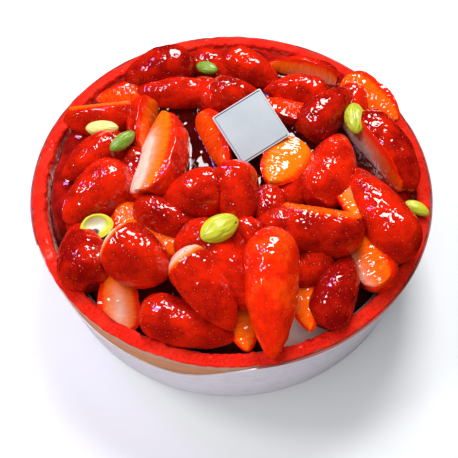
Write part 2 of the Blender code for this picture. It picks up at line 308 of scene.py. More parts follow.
class StageSettings(PropertyGroup):
    """Floor, light and camera"""
    floor: colour("Floor", "Colour of the floor", (0.80, 0.82, 0.84))
    key: number("Key light", "Power of the main light in watts", 3.2)
    fill: number("Fill light", "Power of the soft light in watts", 3.4)
    front: number("Front light", "Power of the light on the wall in watts", 1.25)
    violet: number("Violet light", "Power of the violet light in watts", 0.5)
    sky: number("Sky", "Strength of the even light from all sides", 0.20)
    focal: FloatProperty(name="Focal length", description="Lens of the camera in mm",
                         default=39.301, subtype="DISTANCE_CAMERA")


SETTINGS = {
    "cake_ring": RingSettings, "cake_cream": CreamSettings, "cake_band": BandSettings,
    "cake_plaque": PlaqueSettings, "cake_berries": BerrySettings,
    "cake_nuts": NutSettings, "cake_stage": StageSettings,
}


# Small tools for shapes

def smooth_step(value, low, high):
    """0 below low, 1 above high, a smooth S between them."""
    part = np.clip((value - low) / (high - low), 0.0, 1.0)
    return part * part * (3.0 - 2.0 * part)


def lattice_noise(points, size, seed):
    """Soft noise from -1 to 1: random values at the corners of cubes of one
    size, blended between the corners by a smooth S along each axis."""
    table = np.random.default_rng(seed).uniform(-1.0, 1.0, 8192)
    scaled = points / size
    cell = np.floor(scaled).astype(np.int64)
    part = scaled - cell
    part = part * part * (3.0 - 2.0 * part)
    total = np.zeros(points.shape[:-1])
    for corner in product((0, 1), repeat=3):
        spot = cell + corner
        key = (spot[..., 0] * 7919 + spot[..., 1] * 104729 + spot[..., 2] * 1299709)
        weight = np.ones(points.shape[:-1])
        for axis, step in enumerate(corner):
            weight *= part[..., axis] if step else 1.0 - part[..., axis]
        total += weight * table[key % 8192]
    return total


def layered_noise(points, size, layers, seed):
    """Sum of noises, each half the size and half the strength of the last."""
    total = np.zeros(points.shape[:-1])
    for layer in range(layers):
        total += 0.5 ** layer * lattice_noise(points, size * 0.5 ** layer, seed + layer)
    return total


def once_round(count):
    """Even turns, once round."""
    return np.linspace(0.0, 2 * np.pi, count, endpoint=False)


def degrees_from(turns, middle):
    """How far turns in radians are from a direction in degrees, 0 to 180."""
    return np.abs((np.degrees(turns) - middle + 180.0) % 360.0 - 180.0)


def turned(along, radius, turns):
    """Points round an axis, with the first coordinate along it."""
    return np.stack(np.broadcast_arrays(along, radius * np.cos(turns),
                                        radius * np.sin(turns)), -1)


def upright(radius, turns, height):
    """Points round the upright axis."""
    return turned(height, radius, turns)[..., [1, 2, 0]]


def volume(points, quads, triangles):
    """Six times the signed volume: the sum of corner products of all faces."""
    parts = np.concatenate((quads[:, [0, 1, 2]], quads[:, [0, 2, 3]], triangles))
    a, b, c = (points[parts[:, i]] for i in range(3))
    return float(np.einsum("ij,ij->", a, np.cross(b, c)))


def add_mesh(name, points, quads, triangles, **attributes):
    """An object from an array of points in millimetres, faces turned outward.
    Each attribute is one number or three for each point."""
    if volume(points, quads, triangles) < 0:
        quads, triangles = quads[:, ::-1], triangles[:, ::-1]
    corners = np.concatenate((quads.ravel(), triangles.ravel())).astype(np.int32)
    starts = np.concatenate((np.arange(len(quads)) * 4,
                             len(quads) * 4 + np.arange(len(triangles)) * 3))
    mesh = bpy.data.meshes.new(name)
    mesh.vertices.add(len(points))
    mesh.vertices.foreach_set("co", (points * MM).astype(np.float32).ravel())
    mesh.loops.add(len(corners))
    mesh.loops.foreach_set("vertex_index", corners)
    mesh.polygons.add(len(starts))
    mesh.polygons.foreach_set("loop_start", starts.astype(np.int32))
    mesh.update(calc_edges=True)
    mesh.validate()
    mesh.shade_smooth()
    for label, values in attributes.items():
        kind, field = ("FLOAT", "value") if values.ndim == 1 else ("FLOAT_VECTOR", "vector")
        layer = mesh.attributes.new(label, kind, "POINT")
        layer.data.foreach_set(field, values.astype(np.float32).ravel())
    piece = bpy.data.objects.new(name, mesh)
    bpy.context.scene.collection.objects.link(piece)
    return piece


def pole_rows(grid):
    """A grid as one list, its first and last rows being a single point each."""
    inner = grid[1:-1].reshape(-1, *grid.shape[2:])
    return np.concatenate((grid[:1, 0], inner, grid[-1:, 0]))


def closed_grid(grid):
    """Points and faces of a grid whose columns wrap round and whose first and
    last rows are poles."""
    inner, columns = grid.shape[0] - 2, grid.shape[1]
    index = 1 + np.arange(inner * columns).reshape(inner, columns)
    after = np.roll(index, -1, axis=1)
    quads = np.stack((index[:-1], after[:-1], after[1:], index[1:]), -1).reshape(-1, 4)
    first = np.stack((np.zeros(columns, int), after[0], index[0]), -1)
    last = np.stack((np.full(columns, inner * columns + 1), index[-1], after[-1]), -1)
    return pole_rows(grid), quads, np.concatenate((first, last))


def add_closed(name, grid, move=None, **values):
    """A mesh from a grid with poles, its points moved by a function if there
    is one. Each value is a grid or one number."""
    points, quads, triangles = closed_grid(grid)
    rows = {label: pole_rows(value if np.ndim(value) else np.full(grid.shape[:2], value))
            for label, value in values.items()}
    return add_mesh(name, move(points) if move else points, quads, triangles, **rows)


def ring_grid(grid):
    """Points and faces of a grid that wraps round both ways, as a tube does."""
    rows, columns = grid.shape[:2]
    index = np.arange(rows * columns).reshape(rows, columns)
    right = np.roll(index, -1, axis=1)
    below = np.roll(index, -1, axis=0)
    corner = np.roll(below, -1, axis=1)
    quads = np.stack((index, right, corner, below), -1).reshape(-1, 4)
    return grid.reshape(-1, grid.shape[-1]), quads, np.zeros((0, 3), int)


def even_path(path, step):
    """A path of points resampled so that neighbours are about a step apart."""
    spans = np.hypot(*np.diff(path, axis=0).T)
    arc = np.concatenate(((0.0,), np.cumsum(spans)))
    count = max(4, int(round(arc[-1] / step)) + 1)
    even = np.linspace(0.0, arc[-1], count)
    return np.stack([np.interp(even, arc, path[:, i]) for i in range(2)], -1)


def finish_piece(piece, nodes, material):
    """Declare a piece: what it rides on, replaces and is made of."""
    piece.data.materials.append(material)
    if nodes:
        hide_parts(*nodes)
    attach(piece, "root")
    return piece


# Small tools for materials

class Recipe:
    """Builds one node material step by step round a Principled shader."""

    def __init__(self, name, **inputs):
        self.material = bpy.data.materials.new(name)
        self.material.use_nodes = True
        self.tree = self.material.node_tree
        self.shader = self.tree.nodes["Principled BSDF"]
        self.set(self.shader, inputs)

    def set(self, node, inputs):
        for label, value in inputs.items():
            socket = node.inputs[label.replace("_", " ") if isinstance(label, str) else label]
            if isinstance(value, bpy.types.NodeSocket):
                self.tree.links.new(value, socket)
            elif hasattr(value, "__len__") and len(socket.default_value) == 4:
                socket.default_value = (*value[:3], 1.0)
            else:
                socket.default_value = value

    def add(self, kind, output, inputs=None, **fields):
        node = self.tree.nodes.new("ShaderNode" + kind)
        for label, value in fields.items():
            setattr(node, label, value)
        self.set(node, inputs or {})
        return node.outputs[output]

    def place(self):
        return self.add("TexCoord", "Object")

    def height(self, where):
        return self.add("SeparateXYZ", "Z", {"Vector": where})

    def attribute(self, name, output="Fac"):
        return self.add("Attribute", output, attribute_name=name)

    def stretch(self, vector, scale):
        return self.add("Mapping", "Vector", {"Vector": vector, "Scale": scale})

    def noise(self, vector, scale, detail=3.0, rough=0.5):
        return self.add("TexNoise", "Fac", {"Vector": vector, "Scale": scale,
                                            "Detail": detail, "Roughness": rough})

    def range(self, value, low, high, to_low=0.0, to_high=1.0):
        return self.add("MapRange", "Result",
                        {0: value, 1: low, 2: high, 3: to_low, 4: to_high},
                        interpolation_type="SMOOTHSTEP")

    def plus(self, a, b, clamp=False):
        return self.add("Math", 0, {0: a, 1: b}, operation="ADD", use_clamp=clamp)

    def times(self, a, b):
        return self.add("Math", 0, {0: a, 1: b}, operation="MULTIPLY")

    def mix(self, factor, a, b):
        return self.add("Mix", 2, {0: factor, 6: a, 7: b}, data_type="RGBA")

    def bump(self, height, strength, distance):
        return self.add("Bump", "Normal", {"Height": height, "Strength": strength,
                                           "Distance": distance})

    def done(self, **inputs):
        self.set(self.shader, inputs)
        return self.material


# The forms that the pieces share

def berry_profile(along):
    """Share of the half width at a share of the length: the root of one less
    the squared distance behind the shoulder, then a blunted cosine."""
    back = np.sqrt(np.clip(1.0 - ((SHOULDER - along) / CROWN_ROUNDING) ** 2, 0.0, 1.0))
    forward = np.clip((along - SHOULDER) / (1.0 - SHOULDER), 0.0, 1.0)
    taper = np.clip(np.cos(0.5 * np.pi * forward ** TAPER_POWER), 0.0, 1.0)
    return np.where(along < SHOULDER, back, taper ** TIP_BLUNTNESS)


def local_axes(heading, rise):
    """Rows: along the piece, to its left, and up out of it."""
    turn, lift = math.radians(heading), math.radians(rise)
    along = np.array((math.cos(lift) * math.cos(turn),
                      math.cos(lift) * math.sin(turn), math.sin(lift)))
    left = np.array((-math.sin(turn), math.cos(turn), 0.0))
    return np.stack((along, left, np.cross(along, left)))


def cut_normal(face):
    """Way out of a cut in the piece's own axes: up, turned to its left."""
    turn = math.radians(face)
    return np.array((0.0, math.sin(turn), math.cos(turn)))


def berry_gap(points, berry):
    """About how far points are outside a strawberry: the distance from its
    axis less its radius there, and the distance past its ends and its cut."""
    local = (points - np.array(berry.at)) @ local_axes(berry.heading, berry.rise).T
    along = np.clip(local[..., 0] / berry.length + 0.5, 0.0, 1.0)
    gap = np.hypot(local[..., 1], local[..., 2]) - 0.5 * berry.width * berry_profile(along)
    gap = np.maximum(gap, np.abs(local[..., 0]) - 0.5 * berry.length)
    if berry.half:
        gap = np.maximum(gap, local @ cut_normal(berry.face) - berry.keep)
    return gap


def cream_height(radius):
    """Height of the domed cream: its edge plus a power of how far a power of
    the radius falls short of the edge's."""
    cream, ring = bpy.context.scene.cake_cream, bpy.context.scene.cake_ring
    edge = (ring.radius - ring.wall - cream.gap) / MM
    fall = np.clip(1.0 - (radius / edge) ** cream.power, 0.0, 1.0)
    return (cream.edge + cream.rise * fall ** cream.rounding) / MM


def base_gap(points):
    """About how far points are outside the cream and the ring."""
    ring = bpy.context.scene.cake_ring
    radius = np.hypot(points[..., 0], points[..., 1])
    cream = points[..., 2] - cream_height(radius)
    inner, outer = (ring.radius - ring.wall) / MM, ring.radius / MM
    wall = np.maximum(np.maximum(inner - radius, radius - outer),
                      points[..., 2] - ring.height / MM)
    return np.minimum(np.where(radius < inner, cream, np.inf), wall)


def plaque_axes():
    """Centre of the plaque, and its axes as rows, from its solid's box."""
    plaque = bpy.context.scene.cake_plaque
    low, high = (np.array(corner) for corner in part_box("plaque"))
    turn = (Matrix.Rotation(plaque.tilt, 3, "X") @ Matrix.Rotation(plaque.heading, 3, "Z"))
    return (low + high) / 2 / MM, np.array(turn).T


def plaque_gap(points):
    """About how far points are outside the plaque, a flat box."""
    plaque = bpy.context.scene.cake_plaque
    centre, axes = plaque_axes()
    local = np.abs((points - centre) @ axes.T)
    half_size = np.array((plaque.size, plaque.size, plaque.thickness)) / 2 / MM
    return (local - half_size).max(-1)


def blockers_of(piece, above):
    """What a piece gives way to: near berries above it, plaque, cream, ring."""
    press = bpy.context.scene.cake_berries.press / MM
    reach = 0.5 * math.hypot(piece.length, piece.width)
    near = [other for other in above if math.dist(other.at, piece.at)
            < reach + 0.5 * math.hypot(other.length, other.width)]

    def gap(points):
        least = base_gap(points) + press
        least = np.minimum(least, plaque_gap(points) - 0.15)
        for other in near:
            least = np.minimum(least, berry_gap(points, other) + press)
        return least
    return gap


def give_way(points, core, heart, gap, steps=18):
    """Points inside a neighbour slide towards the axis, or else towards the
    middle of the solid, and stop where they come out of the neighbour."""
    moved = points.copy()
    level = gap(points)
    stuck = np.nonzero(level < 0.0)[0]
    shares = np.linspace(0.0, 1.0, steps + 1)
    for goal in (core, np.broadcast_to(heart, points.shape)):
        if not len(stuck):
            break
        start, way = points[stuck], goal[stuck] - points[stuck]
        levels = gap(start[:, None] + shares[:, None] * way[:, None])
        free = levels > 0.0
        out = free.any(1)
        step = np.maximum(free.argmax(1), 1)
        row = np.arange(len(stuck))
        before, after = levels[row, step - 1], levels[row, step]
        part = (step - 1 - before / np.where(after == before, 1.0, after - before)) / steps
        moved[stuck[out]] = (start + part[:, None] * way)[out]
        stuck = stuck[~out]
    moved[stuck] = heart
    return moved


def solid_middle(node):
    """Middle of a solid's points, in millimetres."""
    mesh = frame["nodes"][node].data
    flat = np.empty(len(mesh.vertices) * 3, np.float32)
    mesh.vertices.foreach_get("co", flat)
    return flat.reshape(-1, 3).mean(0).astype(float) / MM


# Strawberries

def berry_outline(berry):
    """Half section from the middle of the crown to the tip, in even steps:
    a shallow hollow, the shoulder and the taper, its corners averaged."""
    along = 0.5 - 0.5 * np.cos(np.linspace(0.0, np.pi, 300))
    radius = 0.5 * berry.width * berry_profile(along)
    disc = np.linspace(0.0, radius[0], 40, endpoint=False)
    hollow = HOLLOW_DEPTH * (1.0 - (disc / radius[0]) ** 2)
    path = np.concatenate((
        np.stack((hollow - 0.5 * berry.length, disc), -1),
        np.stack(((along - 0.5) * berry.length, radius), -1)))
    fine = even_path(path, 0.1)
    reach = CORNER_REACH
    mirrored = fine * (1, -1)
    padded = np.concatenate((mirrored[reach:0:-1], fine, mirrored[-2:-reach - 2:-1]))
    window = np.hanning(2 * reach + 3)[1:-1]
    window /= window.sum()
    smooth = np.stack([np.convolve(padded[:, i], window, "same") for i in range(2)], -1)
    smooth = smooth[reach:-reach]
    smooth[[0, -1], 1] = 0.0
    return even_path(smooth, bpy.context.scene.cake_berries.step / MM)


def berry_shell(berry, outline, rows, turns):
    """Points, outward and forward directions and pit strength of a berry's
    skin at row numbers and turns: the turned outline, pushed in at dents by
    noise and at each seed by a bell curve of the distance from it."""
    count = np.arange(len(outline))
    slope = np.gradient(outline, axis=0)
    x, r, dx, dr = (np.interp(rows, count, values) for values in (*outline.T, *slope.T))
    scale = np.hypot(dx, dr)
    base = turned(x, r, turns)
    outward = turned(-dr / scale, dx / scale, turns)
    forward = turned(dx / scale, dr / scale, turns)
    sizes = bpy.context.scene.cake_berries
    shift = base + 100.0 * berry.number
    push = sizes.uneven / MM * (lattice_noise(shift, 9.0, 5)
                                + 0.35 * lattice_noise(shift, 3.2, 6))
    seed_rows, seed_turns = seed_spots(berry, outline)
    seed_x, seed_r = (np.interp(seed_rows, count, values) for values in outline.T)
    seeds = turned(seed_x, seed_r, seed_turns)
    flat = base.reshape(-1, 3)
    near = ((flat ** 2).sum(1)[:, None] + (seeds ** 2).sum(1) - 2.0 * flat @ seeds.T)
    pit = np.exp(-near.min(1) / PIT_SPREAD).reshape(x.shape)
    push -= sizes.pit / MM * pit
    base = base + push[..., None] * outward
    bend = BEND * math.sin(berry.number * 1.7)
    base[..., 1] += bend * ((2.0 * x / berry.length) ** 2 - 0.3)
    return base, outward, forward, pit


def seed_spots(berry, outline):
    """Rows and turns of the seeds: even shares of the skin's area from the
    shoulder to the tip, as much as a hexagon for each seed, and each a golden
    angle on from the last."""
    radius = outline[:, 1]
    start = int(np.argmax(outline[:, 0] > -0.5 * berry.length + 1.2))
    step = math.hypot(*(outline[-1] - outline[-2]))
    area = np.cumsum(np.where(np.arange(len(radius)) < start, 0.0, radius)) * 2 * np.pi * step
    spacing = bpy.context.scene.cake_berries.seed_step / MM
    count = int(area[-1] / (spacing ** 2 * 0.87))
    order = np.arange(count) + 0.5
    rows = np.interp(order / count * area[-1], area, np.arange(len(radius)))
    golden = math.pi * (3.0 - math.sqrt(5.0))
    wander = np.random.default_rng(berry.number).normal(0.0, 0.5, (2, count))
    return rows + wander[0], np.arange(count) * golden + 0.5 * wander[1]


def trim_half(local, berry):
    """Points with what stands beyond the cut laid onto it, under a low dome
    and a soft edge, and how far each point belongs to the cut."""
    if not berry.half:
        return local, np.zeros(local.shape[:-1])
    normal = cut_normal(berry.face)
    beyond = local @ normal - berry.keep
    level = -CUT_SOFTNESS * np.logaddexp(0.0, -beyond / CUT_SOFTNESS)
    across = local @ np.cross(normal, AHEAD)
    ripple = np.stack((local[..., 0] * 1.6, across * 0.35,
                       np.full(across.shape, berry.number)), -1)
    relief = 0.16 * lattice_noise(ripple, 1.0, 17)
    cut = smooth_step(beyond, 0.1, 0.9)
    share_along = np.clip(local[..., 0] / berry.length + 0.5, 0.0, 1.0)
    half_width = np.maximum(0.5 * berry.width * berry_profile(share_along), 0.5)
    dome = 0.10 * berry.width * np.clip(1.0 - (across / half_width) ** 2, 0.0, 1.0)
    moved = (level + (relief + dome) * cut - beyond) * (beyond > -4.0)
    return local + moved[..., None] * normal, cut


def fitted(piece, node, core, above):
    """A function that turns a piece's points into place among what lies above
    it. The core is where points that have to give way slide to."""
    axes, at = local_axes(piece.heading, piece.rise), np.array(piece.at)

    def move(points):
        return give_way(points @ axes + at, pole_rows(core) @ axes + at,
                        solid_middle(node), blockers_of(piece, above))
    return move


def build_berry(berry, above, material):
    """One glazed strawberry: its shell, its cut and the dents of neighbours."""
    outline = berry_outline(berry)
    step = bpy.context.scene.cake_berries.step / MM
    columns = 2 * int(round(0.5 * np.pi * berry.width / step))
    rows, turns = np.meshgrid(np.arange(len(outline), dtype=float), once_round(columns),
                              indexing="ij")
    local, _, _, pit = berry_shell(berry, outline, rows, turns)
    along = local[..., 0] / berry.length + 0.5
    local, cut = trim_half(local, berry)
    normal = cut_normal(berry.face)
    across = local @ np.cross(normal, AHEAD)
    core = np.clip(local[..., :1], -0.4 * berry.length, 0.36 * berry.length) * AHEAD
    if berry.half:
        core = core + (berry.keep - 0.2 * berry.width) * normal
    half_width = np.maximum(0.5 * berry.width * berry_profile(np.clip(along, 0, 1)), 1.0)
    strip = np.exp(-((across / half_width - berry.lean) / STRIP_WIDTH) ** 2)
    pale = berry.crown * (1.0 - smooth_step(along, 0.05, 0.22))
    node = f"strawberry_{berry.number:02d}"
    piece = add_closed(
        f"glazed_{node}", local, fitted(berry, node, core, above), cut=cut,
        pit=pit * (1.0 - cut), core=strip * smooth_step(1.0 - along, 0.20, 0.65) * berry.core,
        pale=pale * (1.0 - cut), tone=berry.tone, edge=np.abs(across) / half_width,
        flush=berry.flush,
        grain=np.stack((local[..., 0], across, np.full(across.shape, 7.0 * berry.number)), -1))
    return finish_piece(piece, [node], material)


def strawberry_material():
    """Wet red skin with darker patches and painted shade in its seed pits, and cut
    flesh that runs from a white core through orange to a red edge, under one coat of glaze."""
    look = bpy.context.scene.cake_berries
    r = Recipe("glazed_strawberry", Roughness=0.6, Specular_IOR_Level=0.0,
               Coat_Weight=1.0, Coat_Roughness=look.glaze_roughness, Coat_IOR=1.5)
    where = r.place()
    patch, fine = r.noise(where, 110.0, 4.0), r.noise(where, 600.0)
    tone = r.plus(r.attribute("tone"), r.range(patch, 0.32, 0.68, -0.28, 0.28))
    # Painted shade: the skin is darkened where it dips into the pit round a seed
    tone = r.plus(tone, r.times(r.attribute("pit"), -0.18))
    tone = r.plus(tone, r.range(fine, 0.3, 0.7, -0.08, 0.08))
    skin = r.mix(tone, look.dark, look.bright)
    skin = r.mix(r.range(tone, 0.9, 2.2), skin, look.flesh)
    pale = r.times(r.attribute("pale"), r.range(patch, 0.25, 0.6, 0.7, 1.1))
    skin = r.mix(r.range(pale, 0.1, 0.5), skin, look.flesh)
    skin = r.mix(r.range(pale, 0.35, 0.85), skin, look.core)
    grain = r.attribute("grain", "Vector")
    fibre = r.noise(r.stretch(grain, (1.1, 0.22, 1.0)), 1.0)
    soft = r.noise(r.stretch(grain, (0.25, 0.25, 1.0)), 1.0, 2.0)
    flesh_red = r.plus(r.range(r.attribute("edge"), 0.55, 0.95),
                       r.range(fibre, 0.35, 0.75, -0.15, 0.25))
    flesh_red = r.plus(flesh_red, r.attribute("flush"), clamp=True)
    flesh = r.mix(flesh_red, look.flesh, look.bright)
    core = r.attribute("core")
    white = r.times(core, r.range(soft, 0.25, 0.6, 0.7, 1.3))
    white = r.plus(white, r.times(r.range(fibre, 0.55, 0.8, 0.0, 0.5), core), clamp=True)
    flesh = r.mix(white, flesh, look.core)
    cut = r.range(r.plus(r.attribute("cut"), r.range(fine, 0.3, 0.7, -0.2, 0.2)), 0.25, 0.75)
    height = r.plus(r.times(fine, 0.5), r.times(fibre, 0.5))
    calm = r.range(r.noise(where, 95.0, 1.0), 0.38, 0.62, 0.25, 1.0)
    ripple = r.times(r.noise(where, 320.0, 1.0), calm)
    return r.done(Base_Color=r.mix(cut, skin, flesh),
                  Normal=r.bump(height, 0.18, 0.0006),
                  Coat_Normal=r.bump(ripple, 0.6, 0.0020))


def seed_material():
    """Small dry seeds, from orange to dark red."""
    look = bpy.context.scene.cake_berries
    r = Recipe("strawberry_seed", Roughness=0.35, Coat_Weight=0.6, Coat_Roughness=0.1)
    spot = r.noise(r.place(), 350.0, 1.0)
    return r.done(Base_Color=r.mix(r.range(spot, 0.35, 0.65), look.seed, (0.45, 0.022, 0.006)))


def seed_form():
    """A small pointed ball, one long: rows of a sphere with a sharper end."""
    x = -np.cos(np.linspace(0.0, np.pi, 5))[:, None]
    return closed_grid(turned(x, np.sqrt(1.0 - x ** 2) * (1.0 - 0.25 * x), once_round(6)))


def seeds_of(berry, above, form):
    """The points of a berry's seeds that show, each in its pit, its long way
    along the berry. Those on a cut, under a neighbour or underneath are out."""
    outline = berry_outline(berry)
    local, outward, forward, _ = berry_shell(berry, outline, *seed_spots(berry, outline))
    axes = local_axes(berry.heading, berry.rise)
    world, up, long = (local @ axes + np.array(berry.at), outward @ axes, forward @ axes)
    shows = (blockers_of(berry, above)(world) > 1.0) & (up[:, 2] > -0.35)
    if berry.half:
        shows &= local @ cut_normal(berry.face) < berry.keep - 0.9
    for other in BERRIES:
        if other is not berry and math.dist(other.at, berry.at) < 50.0:
            shows &= berry_gap(world, other) > 0.3
    size = np.random.default_rng(berry.number + 99).uniform(0.6, 1.05, (len(world), 1, 1))
    directions = np.stack((long, np.cross(up, long), up), 1)
    return (world[:, None] + size * ((form * SEED_SIZE) @ directions))[shows]


def build_seeds(material):
    """All seeds that show, as one mesh of small pointed balls."""
    form, quads, triangles = seed_form()
    points = np.concatenate([seeds_of(berry, BERRIES[:rank], form)
                             for rank, berry in enumerate(BERRIES)])
    offset = (np.arange(len(points)) * len(form))[:, None, None]
    piece = add_mesh("strawberry_seeds", points.reshape(-1, 3),
                     (quads + offset).reshape(-1, 4), (triangles + offset).reshape(-1, 3))
    return finish_piece(piece, [], material)


# Ring, cream, jelly, band, plaque, nuts

def ring_section():
    """Radii and heights of the ring's section, up the outside, over the rim's
    two rounded corners and down the inside, with few points low down."""
    ring = bpy.context.scene.cake_ring
    outer, inner, top = ring.radius / MM, (ring.radius - ring.wall) / MM, ring.height / MM
    corner = np.linspace(0.0, 0.5 * np.pi, 7)
    wide, tight = RIM_INNER_ROUND, RIM_OUTER_ROUND
    section = np.concatenate((
        [(inner, 0.0), (outer, 0.0), (outer, top - RIM_DEPTH)],
        np.stack((outer - tight + tight * np.cos(corner),
                  top - tight + tight * np.sin(corner)), -1),
        np.stack((inner + wide - wide * np.sin(corner),
                  top - wide + wide * np.cos(corner)), -1),
        [(inner, top - RIM_DEPTH), (inner, 0.0)]))
    fine = even_path(section, RING_STEP)
    keep = (fine[:, 1] > top - RIM_DEPTH - 1.0) | (np.arange(len(fine)) % RING_ONE_IN == 0)
    return fine[keep][:-1].T


def build_ring():
    """Biscuit ring: its section, rounded at the rim, carried once round and
    roughened by layered noise, most on the rim and inside."""
    ring = bpy.context.scene.cake_ring
    top, middle = ring.height / MM, (ring.radius - 0.5 * ring.wall) / MM
    radius, height = ring_section()[:, :, None]
    turns = once_round(RING_TURNS)
    grid = upright(radius, turns, height)
    away = upright(radius - middle, turns, np.maximum(height - top + 3.0, 0.0))
    away /= np.maximum(np.linalg.norm(away, axis=-1, keepdims=True), 1e-6)
    crumb = layered_noise(grid, 2.6, 3, 31)
    swell = lattice_noise(grid * (1, 1, 0.5), 14.0, 41)
    on_top = smooth_step(grid[..., 2], top - 4.0, top - 0.3)
    inside = smooth_step(middle - np.hypot(grid[..., 0], grid[..., 1]), 0.0, 2.5)
    strength = ring.relief / MM * (0.22 + 0.55 * on_top + 0.75 * inside)
    strength *= smooth_step(grid[..., 2], 0.2, 2.0)
    push = strength * (crumb + 0.7 * swell * np.maximum(on_top, inside)) - 0.25 * on_top
    grid = grid + push[..., None] * away
    spray = smooth_step(grid[..., 2] + 0.8 * crumb * inside, top - 5.5, top - 2.2)
    spray = np.where(inside > 0.5, spray, smooth_step(grid[..., 2], top - 0.9, top - 0.5))
    piece = add_mesh("biscuit_ring", *ring_grid(grid), spray=spray.ravel(),
                     inside=inside.ravel())
    return finish_piece(piece, ["crust_ring"], ring_material())


def ring_material():
    """Red powdery rim, a pale line under it, tan biscuit with faint darker
    bands, and pale pinkish crumb inside."""
    ring = bpy.context.scene.cake_ring
    r = Recipe("ring_biscuit", Roughness=0.95, Specular_IOR_Level=0.1)
    where = r.place()
    grit = r.noise(where, 900.0, 5.0, 0.65)
    blotch = r.noise(where, 160.0, 4.0)
    red = r.mix(r.range(grit, 0.30, 0.70), (0.50, 0.008, 0.004), ring.rim_red)
    red = r.mix(r.range(blotch, 0.35, 0.75, 0.0, 0.35), red, (0.92, 0.05, 0.02))
    streak = r.noise(r.stretch(where, (1.0, 1.0, 7.0)), 120.0, 4.0)
    wall = r.mix(r.range(streak, 0.3, 0.7), ring.biscuit, (0.58, 0.27, 0.15))
    wall = r.mix(r.range(r.height(where), 0.0440, 0.0450), wall, ring.rim_edge)
    crumb = r.mix(r.range(grit, 0.3, 0.65), (0.66, 0.22, 0.18), ring.inner)
    wall = r.mix(r.attribute("inside"), wall, crumb)
    return r.done(Base_Color=r.mix(r.attribute("spray"), wall, red),
                  Normal=r.bump(grit, 0.55, 0.0009))


def build_cream():
    """Cream body: flat foot, straight side and a softly uneven dome whose
    height falls from the middle to the ring."""
    ring, cream = bpy.context.scene.cake_ring, bpy.context.scene.cake_cream
    edge = (ring.radius - ring.wall - cream.gap) / MM
    foot, side = 11, 24
    radius = np.concatenate((np.linspace(0.0, edge, foot + 1)[:-1], np.full(side, edge),
                             edge * np.cos(np.linspace(0, 0.5 * np.pi, 90))[1:]))
    height = np.concatenate((np.zeros(foot), np.linspace(0.0, cream.edge / MM, side),
                             cream_height(radius[foot + side:])))
    grid = upright(radius[:, None], once_round(CREAM_TURNS), height[:, None])
    dome = (np.arange(len(radius)) >= foot + side)[:, None]
    soft = smooth_step(edge - np.hypot(grid[..., 0], grid[..., 1]), 0.0, 3.0)
    grid[..., 2] += dome * soft * 0.5 * layered_noise(grid, 9.0, 3, 53)
    grid[0], grid[-1] = grid[0].mean(0), grid[-1].mean(0)
    return finish_piece(add_closed("cream_body", grid), ["cream"], cream_material())


def cream_material():
    """Warm white cream, pinker where juice has run."""
    r = Recipe("cream", Roughness=0.42, Subsurface_Weight=0.25, Subsurface_Scale=0.003,
               Coat_Weight=0.25, Coat_Roughness=0.3)
    where = r.place()
    juice = r.range(r.noise(where, 70.0), 0.45, 0.75, 0.0, 0.45)
    return r.done(Base_Color=r.mix(juice, bpy.context.scene.cake_cream.cream, (0.72, 0.30, 0.26)),
                  Normal=r.bump(r.noise(where, 260.0), 0.25, 0.001))


def jelly_edge(turns):
    """Radius where the jelly ends: near the ring, but short of it where the
    cream shows at the front."""
    open_front = 1.0 - smooth_step(degrees_from(turns, CREAM_SHOWS), 7.0, 13.0)
    wander = 0.2 * lattice_noise(upright(40.0, turns, 0.0), 8.0, 61)
    return JELLY_EDGE + wander - JELLY_SHORT * open_front


def build_jelly():
    """Jelly between the fruit: a skin on the cream that climbs a little where
    it meets a berry, banks up along the ring and thins out where it ends."""
    turns = once_round(JELLY_TURNS)
    upper = 130
    part = np.concatenate((np.linspace(0.0, 1.0, upper), np.linspace(1.0, 0.0, 30)[1:]))
    radius = part[:, None] * jelly_edge(turns)
    grid = upright(radius, turns, 0.0)
    floor = cream_height(np.minimum(radius, JELLY_EDGE - 0.8)) - JELLY_SINK
    fade = smooth_step(1.0 - part[:, None], 0.0, 0.05) * np.ones_like(radius)
    top = floor + (JELLY_SINK + bpy.context.scene.cake_cream.jelly / MM) * fade
    top += 0.25 * fade * lattice_noise(grid, 7.0, 71)
    bank = (smooth_step(degrees_from(turns, FRONT), 62.0, 76.0)
            * smooth_step(radius, 56.0, 80.0))
    top += bank * (BANK_HEIGHT - BANK_FALL * smooth_step(radius, 79.0, 84.0)
                   + 1.3 * lattice_noise(grid, 9.0, 73))
    grid[..., 2] = top
    climb = np.min([berry_gap(grid, berry) for berry in BERRIES], axis=0)
    top += fade * 1.3 * np.exp(-np.clip(climb, 0.0, 9.0) / 0.9)
    grid[..., 2] = np.where((np.arange(len(part)) < upper)[:, None], top, floor)
    grid[0], grid[-1] = grid[0].mean(0), grid[-1].mean(0)
    piece = add_closed("jelly", grid, bank=bank)
    return finish_piece(piece, [], jelly_material())


def jelly_material():
    """Dark wet jelly, redder where it banks up along the ring; its near-black stands
    partly for painted shade deep between the fruit.
    """
    r = Recipe("jelly", Roughness=0.4, Specular_IOR_Level=0.0, Coat_Weight=0.7,
               Coat_Roughness=0.04)
    where = r.place()
    thin = r.range(r.noise(where, 130.0), 0.35, 0.7)
    # Painted shade: the jelly's near-black is partly its own dark red, partly the shade deep between
    # the fruit
    deep = r.mix(thin, bpy.context.scene.cake_cream.jelly_red, (0.065, 0.0015, 0.001))
    red = r.mix(thin, (0.16, 0.004, 0.003), (0.42, 0.008, 0.004))
    return r.done(Base_Color=r.mix(r.attribute("bank"), deep, red),
                  Normal=r.bump(r.noise(where, 220.0, 2.0), 0.3, 0.001),
                  Coat_Normal=r.bump(r.noise(where, 170.0, 1.0), 0.35, 0.0020))


